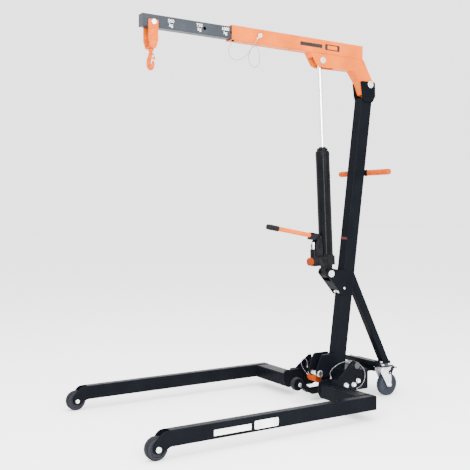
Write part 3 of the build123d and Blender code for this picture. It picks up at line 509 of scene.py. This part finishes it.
def push_grips():
    for side, sign in SIDES:
        bm = ribbed_grip(place(sign * 43, BAR_Y, BAR_Z), place(sign * 207, BAR_Y, BAR_Z), 16.5, 16, 12.6)
        grip = keep(bm, side + "_push_grip", "base", FINISHES["orange_rubber"])
        if sign > 0:
            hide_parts("push_handle_grips")


push_grips()


def pump_grip():
    """The black grip at the end of the pump handle."""
    low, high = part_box("handle_grip")
    low_t, high_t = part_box("pump_handle")
    tip = Vector((0, low[1] + 0.003, high[2] - 0.0148))
    heel = Vector((0, high_t[1] - 0.004, low_t[2] + 0.0125))
    run = (tip - heel).normalized()
    bm = ribbed_grip(tip - run * 0.07, tip, 15, 9, 12.6)
    grip = keep(bm, "pump_handle_grip", "pump_handle", FINISHES["black_rubber"])
    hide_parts("handle_grip")


pump_grip()


# ---------------------------------------------------------------- load hook
def forged_hook():
    """The hook's body as a tapered spine, with its collar, shank and nut."""
    spine = [(0, 62, 8.5), (0, 50, 9), (-7, 36, 9.5), (-20, 20, 10.5), (-25, 0, 10.8), (-18, -17, 11),
             (0, -25, 11), (17, -19, 9.5), (25, -5, 7.5), (27, 6, 4.5), (28, 10, 1.5)]
    curve = bpy.data.curves.new("hook spine", "CURVE")
    curve.dimensions = "3D"
    curve.bevel_depth = 0.001
    curve.bevel_resolution = 6
    curve.use_fill_caps = True
    line = curve.splines.new("NURBS")
    line.points.add(len(spine) - 1)
    for point, (x, z, radius) in zip(line.points, spine):
        point.co = (*place(x, HOOK_Y, BOWL_Z + z), 1)
        point.radius = radius
    line.order_u = 3
    line.use_endpoint_u = True
    line.resolution_u = 8
    shape = bpy.data.objects.new("hook spine", curve)
    bm = bmesh.new()
    bm.from_mesh(bpy.data.meshes.new_from_object(shape))
    bpy.data.objects.remove(shape)
    neck = place(0, HOOK_Y, 0)
    up = (0, 0, 1)
    turned(bm, [(1779, 0.1), (1779, 9), (1782, 14), (1789, 14), (1791, 12), (1791, 9), (1812, 9),
                (1814, 7), (1814, 0.1)], neck, up)
    hex_bolt(bm, 25, 10, place(0, HOOK_Y, 1801), up, 1)
    hook = keep(bm, "forged_hook", "hook", FINISHES["hook_paint"])
    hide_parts("load_hook")


forged_hook()


# ---------------------------------------------------------------- ram details
def ram_point(y, z):
    """A point drawn about the ram's foot pin with the ram upright, at its real lean."""
    lean = math.atan2(RAM_FOOT_Y - RAM_HEAD_Y, RAM_HEAD_Z - RAM_FOOT_Z)
    return place(0, RAM_FOOT_Y + y * math.cos(lean) - z * math.sin(lean),
                 RAM_FOOT_Z + y * math.sin(lean) + z * math.cos(lean))


def ram_rings():
    """The rod's wiper, a band round the gland nut, the weld ring at the cylinder's foot and the valve's
    plugs.
    """
    up = (ram_point(0, 100) - ram_point(0, 0)).normalized()
    bm = bmesh.new()
    turned(bm, [(0, 12.4), (0, 20), (3, 21), (6, 18), (8, 12.6)], ram_point(0, 681.5), up)
    wiper = keep(bm, "rod_wiper", "ram", FINISHES["black_rubber"])
    bm = bmesh.new()
    turned(bm, [(0, 36), (0, 39.6), (4, 41), (8, 39.6), (8, 36)], ram_point(0, 95.5), up)
    turned(bm, [(0, 36), (0, 38.6), (2, 39.2), (10, 39.2), (12, 38.6), (12, 36)], ram_point(0, 640), up)
    rings = keep(bm, "cylinder_rings", "ram", FINISHES["black_gloss"])
    bm = bmesh.new()
    side = ram_point(-40, 72)
    hex_bolt(bm, 15, 6, side + Vector((0.036, 0, 0)), (1, 0, 0), 1.5)
    hex_bolt(bm, 15, 6, side + Vector((-0.036, 0, 0)), (-1, 0, 0), 1.5)
    hex_bolt(bm, 12, 5, ram_point(-20, 72) + Vector((0.036, 0, 0)), (1, 0, 0), 1.2)
    plugs = keep(bm, "valve_plugs", "ram", FINISHES["cast_black"])


ram_rings()


def pump_yoke():
    """The cast side plates that carry the handle's pin on the pump's foot."""
    bm = bmesh.new()
    outline = ((-84, 95), (-84, 164), (-70, 192), (-58, 210), (-46, 210), (-39, 198), (-37, 95))
    for side in (-22.9, 17.1):
        rim = [bm.verts.new(ram_point(y, z) + Vector((side / 1000, 0, 0))) for y, z in outline]
        plate = bm.faces.new(rim)
        cast = bmesh.ops.extrude_face_region(bm, geom=[plate], use_keep_orig=True)["geom"]
        far = [v for v in cast if isinstance(v, bmesh.types.BMVert)]
        bmesh.ops.translate(bm, vec=(0.0058, 0, 0), verts=far)
    bmesh.ops.recalc_face_normals(bm, faces=bm.faces)
    bmesh.ops.bevel(bm, geom=bm.edges[:], offset=0.0012, segments=2, profile=0.5, affect="EDGES",
                    material=-1)
    keep(bm, "pump_yoke", "ram", FINISHES["cast_black"])


pump_yoke()


def castor_upstand():
    """The upright flange along the front of the two castor plates."""
    bm = bmesh.new()
    plate = bmesh.ops.create_cube(bm, size=1)["verts"]
    bmesh.ops.scale(bm, vec=(0.276, 0.006, 0.026), verts=plate)
    bmesh.ops.translate(bm, vec=place(0, 322.8, 180), verts=plate)
    bmesh.ops.bevel(bm, geom=bm.edges[:], offset=0.001, segments=2, profile=0.5, affect="EDGES",
                    material=-1)
    keep(bm, "castor_upstand", "base", FINISHES["dark_paint"])


castor_upstand()


# ---------------------------------------------------------------- labels
def boom_labels():
    """A dark bar and a rounded outlined box on each side of the boom."""
    for side, sign in SIDES:
        face = sign * BOOM_SIDE
        label(side + "_boom_bar", 146, 20, place(face, -54, 1909), BOOM_TILT, 0, "boom", DARK_INK,
              0.3, sign)
        label(side + "_boom_frame", 100, 32, place(face, 88, 1907), BOOM_TILT, 6, "boom", DARK_INK,
              0.3, sign)
        label(side + "_boom_panel", 66, 20, place(face + sign * 0.3, 88, 1907), BOOM_TILT, 4, "boom",
              FINISHES["orange_paint"], 0.2, sign)


def leg_labels():
    """A white bar and a white rounded panel on each leg's outer face."""
    for side, sign in SIDES:
        face = sign * LEG_OUTER
        body = side + "_leg"
        label(side + "_leg_bar", 190, 26, place(face, -830, 79), 0, 2, body, WHITE_INK, 0.3, sign)
        label(side + "_leg_panel", 129, 38, place(face, -654, 82), 0, 8, body, WHITE_INK, 0.3, sign)


def capacity_marks():
    """White figures on the extension that give the load at each hole."""
    for along, figures in ((-884, "500"), (-730, "750"), (-583, "1000")):
        for side, sign in SIDES:
            words = bpy.data.curves.new("figures", "FONT")
            words.body = figures + "\nkg"
            words.size = 0.022
            words.space_line = 0.85
            words.align_x = "CENTER"
            words.align_y = "CENTER"
            words.extrude = 0.0002
            holder = bpy.data.objects.new("figures", words)
            bm = bmesh.new()
            bm.from_mesh(bpy.data.meshes.new_from_object(holder))
            bpy.data.objects.remove(holder)
            spot = place(sign * (EXT_SIDE + 0.2), along, FIGURES_Z)
            bmesh.ops.transform(bm, matrix=Matrix.Translation(spot) @ upright(sign), verts=bm.verts)
            marks = keep(bm, side + "_figures_" + figures, "extension", WHITE_INK)


boom_labels()
leg_labels()
capacity_marks()


def mast_tape():
    """A red band on the mast's front face."""
    bm = bmesh.new()
    band = bmesh.ops.create_cube(bm, size=1)["verts"]
    bmesh.ops.scale(bm, vec=(0.052, 0.0004, 0.013), verts=band)
    along = TAPE_Z / math.cos(MAST_LEAN)
    lean = Matrix.Translation(place(0, MAST_FOOT_Y, 0)) @ Matrix.Rotation(-MAST_LEAN, 4, "X")
    spot = Matrix.Translation((0, -(MAST_HALF_Y + 0.1) / 1000, along / 1000))
    bmesh.ops.transform(bm, matrix=lean @ spot, verts=band)
    keep(bm, "mast_tape", "base", RED_TAPE)


mast_tape()


# ---------------------------------------------------------------- welds
def frame_welds():
    """Beads where the cross tubes meet the legs and their brackets, and round the mast's foot."""
    paint = FINISHES["dark_paint"]
    for side, sign in SIDES:
        body = side + "_leg"
        inner = sign * (LEG_X - 25.5)
        weld(side + "_corner_weld", place(inner, -90, 62), place(inner, -90, 112), 0.0032, body, paint)
        weld(side + "_corner_top_weld", place(inner, -84, 120.5), place(inner, -6, 120.5), 0.0032, body,
             paint)
        edge = sign * 160.5
        weld(side + "_bracket_weld", place(edge, -90, 62), place(edge, -90, 112), 0.003, body, paint)
        weld(side + "_bracket_top_weld", place(edge, -84, 121), place(edge, 0, 121), 0.003, body, paint)
        weld(side + "_nose_weld", place(sign * 38, 112, 165), place(sign * 38, 156, 165), 0.003, "base",
             paint)
    orange = FINISHES["orange_paint"]
    for side, sign in SIDES:
        weld(side + "_gusset_weld", place(sign * 29, -50, 1876.5), place(sign * 29, 296, 1868.5), 0.0026,
             "boom", orange)


frame_welds()


# ---------------------------------------------------------------- wire ropes
BOOM_WIRE = [(22, -539, 1871), (24, -556, 1853), (27, -569, 1825), (30, -562, 1795), (33, -539, 1778),
             (35, -511, 1780), (36, -483, 1796), (37, -457, 1819), (38, -437, 1848),
             (40, -416, 1862), (42, -398, 1843), (42, -392, 1810), (41, -393, 1777),
             (40, -410, 1750), (39, -436, 1754), (38.5, -454, 1779), (40, -457, 1810),
             (43, -445, 1840), (46, -428, 1866), (48, -413, 1889), (49, -405, 1904)]
NEAR_WIRE = [(66, 60, 124.5), (69, 49, 141), (80, 42, 163), (97, 55, 188), (107, 84, 206),
             (111, 119, 214), (114, 154, 210), (121, 187, 200), (134, 212, 187), (144.5, 227, 162),
             (147, 231, 130), (146, 222, 98), (145, 204, 77), (143, 183, 68), (139.8, 168, 66)]
FAR_WIRE = [(-115, 39, 112), (-119, 28, 125), (-122, 15, 143), (-124, 3, 163), (-123, -3, 184),
            (-119, 5, 203), (-115, 22, 203), (-114, 33, 186), (-116, 38, 166), (-121, 40, 149)]


def wire(name, node, route, body):
    """A lanyard on its route, with a pressed sleeve at each end."""
    curve = bpy.data.curves.new(name, "CURVE")
    curve.dimensions = "3D"
    curve.bevel_depth = WIRE / 2
    curve.bevel_resolution = 3
    line = curve.splines.new("NURBS")
    line.points.add(len(route) - 1)
    for point, spot in zip(line.points, route):
        point.co = (*place(*spot), 1)
    line.order_u = 3
    line.use_endpoint_u = True
    line.resolution_u = 10
    curve.materials.append(FINISHES["wire"])
    rope = bpy.data.objects.new(name, curve)
    bpy.context.scene.collection.objects.link(rope)
    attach(rope, body)
    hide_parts(node)
    for label_end, first, second in (("start", route[0], route[1]), ("end", route[-1], route[-2])):
        bm = bmesh.new()
        start = place(*first)
        along = (place(*second) - start).normalized()
        turned(bm, [(1, 1.4), (1, 2.6), (2, 3), (9, 3), (10, 2.6), (10, 1.4)], start, along, 20)
        sleeve = keep(bm, name + "_sleeve_" + label_end, body, FINISHES["zinc"])


wire("boom_wire", "boom_lanyard", BOOM_WIRE, "boom")
wire("near_wire", "near_lanyard", NEAR_WIRE, "base")
wire("far_wire", "far_lanyard", FAR_WIRE, "base")


# ---------------------------------------------------------------- studio
def studio_floor():
    """A pale matt floor that glows a little."""
    sheet = bpy.data.meshes.new("studio_floor")
    bm = bmesh.new()
    bmesh.ops.create_grid(bm, x_segments=1, y_segments=1, size=30)
    bm.to_mesh(sheet)
    bm.free()
    floor = bpy.data.objects.new("studio_floor", sheet)
    bpy.context.scene.collection.objects.link(floor)
    paper, _, _, shade = start_finish("studio paper", (0.93, 0.93, 0.93), 0.0, 0.9)
    shade.inputs["Emission Color"].default_value = (1, 1, 1, 1)
    shade.inputs["Emission Strength"].default_value = 0.25
    sheet.materials.append(paper)


def surround():
    """An even white glow from all round."""
    world = bpy.data.worlds.new("studio surround")
    world.use_nodes = True
    glow = world.node_tree.nodes["Background"]
    glow.inputs["Color"].default_value = (1, 1, 1, 1)
    glow.inputs["Strength"].default_value = 2.8
    bpy.context.scene.world = world


def soft_light(name, spot, target, width, height, power):
    """A rectangular lamp at one point, aimed at another."""
    lamp = bpy.data.lights.new(name, "AREA")
    lamp.shape = "RECTANGLE"
    lamp.size = width
    lamp.size_y = height
    lamp.energy = power
    holder = bpy.data.objects.new(name, lamp)
    holder.location = spot
    holder.rotation_euler = (target - spot).to_track_quat("-Z", "Y").to_euler()
    bpy.context.scene.collection.objects.link(holder)


def studio():
    """The floor, the surround, three broad lamps and a tall narrow one beside the camera."""
    studio_floor()
    surround()
    heart = Vector((0, 0, 0.8))
    soft_light("key", Vector((2.2, -3.6, 3.6)), heart, 2.6, 2.6, 260)
    soft_light("side", Vector((4.2, 0.6, 2.4)), heart, 2.4, 2.4, 150)
    soft_light("top", Vector((0, 0, 4.6)), heart, 3.0, 3.0, 240)
    soft_light("strip", place(3300, -1700, 1500), place(0, 0, 1000), 0.35, 2.6, 170)


def view_camera():
    """The camera stands at the near side, ahead of the hook and just above the pump."""
    lens = bpy.data.cameras.new("view")
    lens.lens = 58.957
    lens.sensor_width = 36
    lens.clip_end = 100
    camera = bpy.data.objects.new("view", lens)
    camera.location = place(3316.6, -2563.3, 1030)
    camera.rotation_euler = (math.radians(90 - 1.832), 0, math.radians(58.265))
    bpy.context.scene.collection.objects.link(camera)
    bpy.context.scene.camera = camera


studio()
view_camera()
